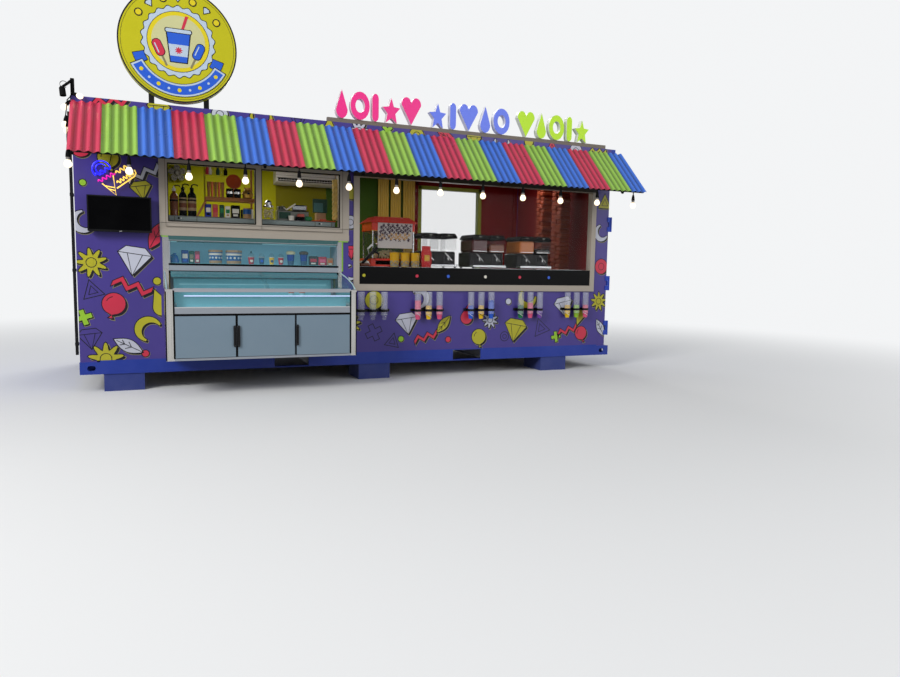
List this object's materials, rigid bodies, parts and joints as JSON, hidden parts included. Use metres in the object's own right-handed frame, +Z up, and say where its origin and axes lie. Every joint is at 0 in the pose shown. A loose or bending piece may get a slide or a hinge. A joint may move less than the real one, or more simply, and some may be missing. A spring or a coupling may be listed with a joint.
{
  "type": "container snack kiosk",
  "caption": "Shipping-container kiosk with striped corrugated awning, serving and display windows, built-in chest freezer, round roof sign and hinged doors.",
  "frame": {"origin": "on the ground, under the middle of the whole kiosk's box", "axes": "+X along the serving front from its left end to its right, +Y from front to back, +Z up"},
  "size_m": [6.2257, 3.39, 3.858],
  "materials": {
    "rail_blue": "satin enamel on steel, scuffed",
    "block_blue": "worn enamel",
    "shell_blue": "satin enamel on corrugated steel",
    "galvanised": "galvanised",
    "wrap_purple": "printed satin vinyl wrap",
    "lining": "satin paint",
    "deck": "sealed boards",
    "frame_cream": "powder coated aluminium",
    "pane": "clear",
    "strip_black": "gloss",
    "polished": "polished sheet",
    "freezer_white": "satin coated sheet",
    "door_grey": "satin coated sheet",
    "freezer_glass": "faint green tint",
    "steel": "brushed",
    "sheet_red": "satin coated sheet",
    "sheet_green": "satin coated sheet",
    "sheet_blue": "satin coated sheet",
    "black_metal": "satin black",
    "disc_yellow": "printed face, dark rim",
    "shape_pink": "face with white returns",
    "shape_blue": "face with white returns",
    "shape_lime": "face with white returns",
    "screen_black": "gloss",
    "cup_tube": "clear tubes on black bars",
    "door_blue": "satin enamel",
    "appliance_white": "matte",
    "popcorn_red": "gloss enamel",
    "juicer_black": "gloss",
    "juice_bowl": "clear bowl of red juice"
  },
  "bodies": {
    "root": {"bottom_rails": "rail_blue", "cross_members": "galvanised", "pocket_plates": "rail_blue", "support_blocks": "block_blue", "corner_castings": "rail_blue", "corner_posts": "rail_blue", "top_rails": "wrap_purple", "roof_panel": "shell_blue", "floor_deck": "deck", "wall_back": "shell_blue", "wall_end_left": "shell_blue", "front_wall_left": "wrap_purple", "front_wall_right": "wrap_purple", "linings": "lining", "service_window_frame": "frame_cream", "service_window_glass": "pane", "display_window_frame": "frame_cream", "display_window_glass": "pane", "sign_strip": "strip_black", "freezer_ends": "polished", "freezer_glass": "freezer_glass", "freezer_carcass": "freezer_white", "freezer_tub": "freezer_white", "freezer_rails": "freezer_white", "case_body": "freezer_white", "pass_shelf": "steel", "awning_red": "sheet_red", "awning_green": "sheet_green", "awning_blue": "sheet_blue", "awning_frame": "black_metal", "disc_sign": "disc_yellow", "sign_supports": "black_metal", "shapes_pink": "shape_pink", "shapes_blue": "shape_blue", "shapes_lime": "shape_lime", "screen": "screen_black", "corner_lamp": "black_metal", "tube_racks": "cup_tube", "entry_frame": "rail_blue", "cooler": "appliance_white", "condenser": "appliance_white", "condenser_brackets": "galvanised", "counters": "steel", "popcorn_machine": "popcorn_red", "juicer_housings": "juicer_black", "juicer_bowls": "juice_bowl"},
    "entry_leaf": {"entry_door": "door_blue"},
    "freezer_leaf_left": {"freezer_door_left": "door_grey"},
    "freezer_leaf_middle": {"freezer_door_middle": "door_grey"},
    "freezer_leaf_right": {"freezer_door_right": "door_grey"},
    "lid_lower": {"freezer_lid_lower": "freezer_glass"},
    "lid_upper": {"freezer_lid_upper": "freezer_glass"},
    "slider_left": {"case_slider_left": "freezer_glass"},
    "slider_right": {"case_slider_right": "freezer_glass"},
    "cargo_leaf_front": {"cargo_door_front": "shell_blue", "cargo_rods_front": "galvanised"},
    "cargo_leaf_back": {"cargo_door_back": "shell_blue", "cargo_rods_back": "galvanised"}
  },
  "joints": [
    {"name": "entry_hinge", "type": "hinge", "parent": "root", "child": "entry_leaf", "pos_m": [1.329, 1.365, 1.375], "axis": [0, 0, 1], "range_deg": [-180, 0]},
    {"name": "freezer_hinge_left", "type": "hinge", "parent": "root", "child": "freezer_leaf_left", "pos_m": [-2.191, -1.67, 0.57], "axis": [0, 0, -1], "range_deg": [0, 90]},
    {"name": "freezer_hinge_middle", "type": "hinge", "parent": "root", "child": "freezer_leaf_middle", "pos_m": [-1.1112, -1.67, 0.57], "axis": [0, 0, 1], "range_deg": [0, 90]},
    {"name": "freezer_hinge_right", "type": "hinge", "parent": "root", "child": "freezer_leaf_right", "pos_m": [-0.561, -1.67, 0.57], "axis": [0, 0, 1], "range_deg": [0, 90]},
    {"name": "lid_lower_slide", "type": "slide", "parent": "root", "child": "lid_lower", "axis": [-1, 0, 0], "range_m": [0, 0.8]},
    {"name": "lid_upper_slide", "type": "slide", "parent": "root", "child": "lid_upper", "axis": [1, 0, 0], "range_m": [0, 0.78]},
    {"name": "slider_left_slide", "type": "slide", "parent": "root", "child": "slider_left", "axis": [1, 0, 0], "range_m": [0, 0.79]},
    {"name": "slider_right_slide", "type": "slide", "parent": "root", "child": "slider_right", "axis": [-1, 0, 0], "range_m": [0, 0.79]},
    {"name": "cargo_hinge_front", "type": "hinge", "parent": "root", "child": "cargo_leaf_front", "pos_m": [3.001, -1.085, 1.47], "axis": [0, 0, -1], "range_deg": [0, 110]},
    {"name": "cargo_hinge_back", "type": "hinge", "parent": "root", "child": "cargo_leaf_back", "pos_m": [3.001, 1.365, 1.47], "axis": [0, 0, 1], "range_deg": [0, 270]}
  ]
}
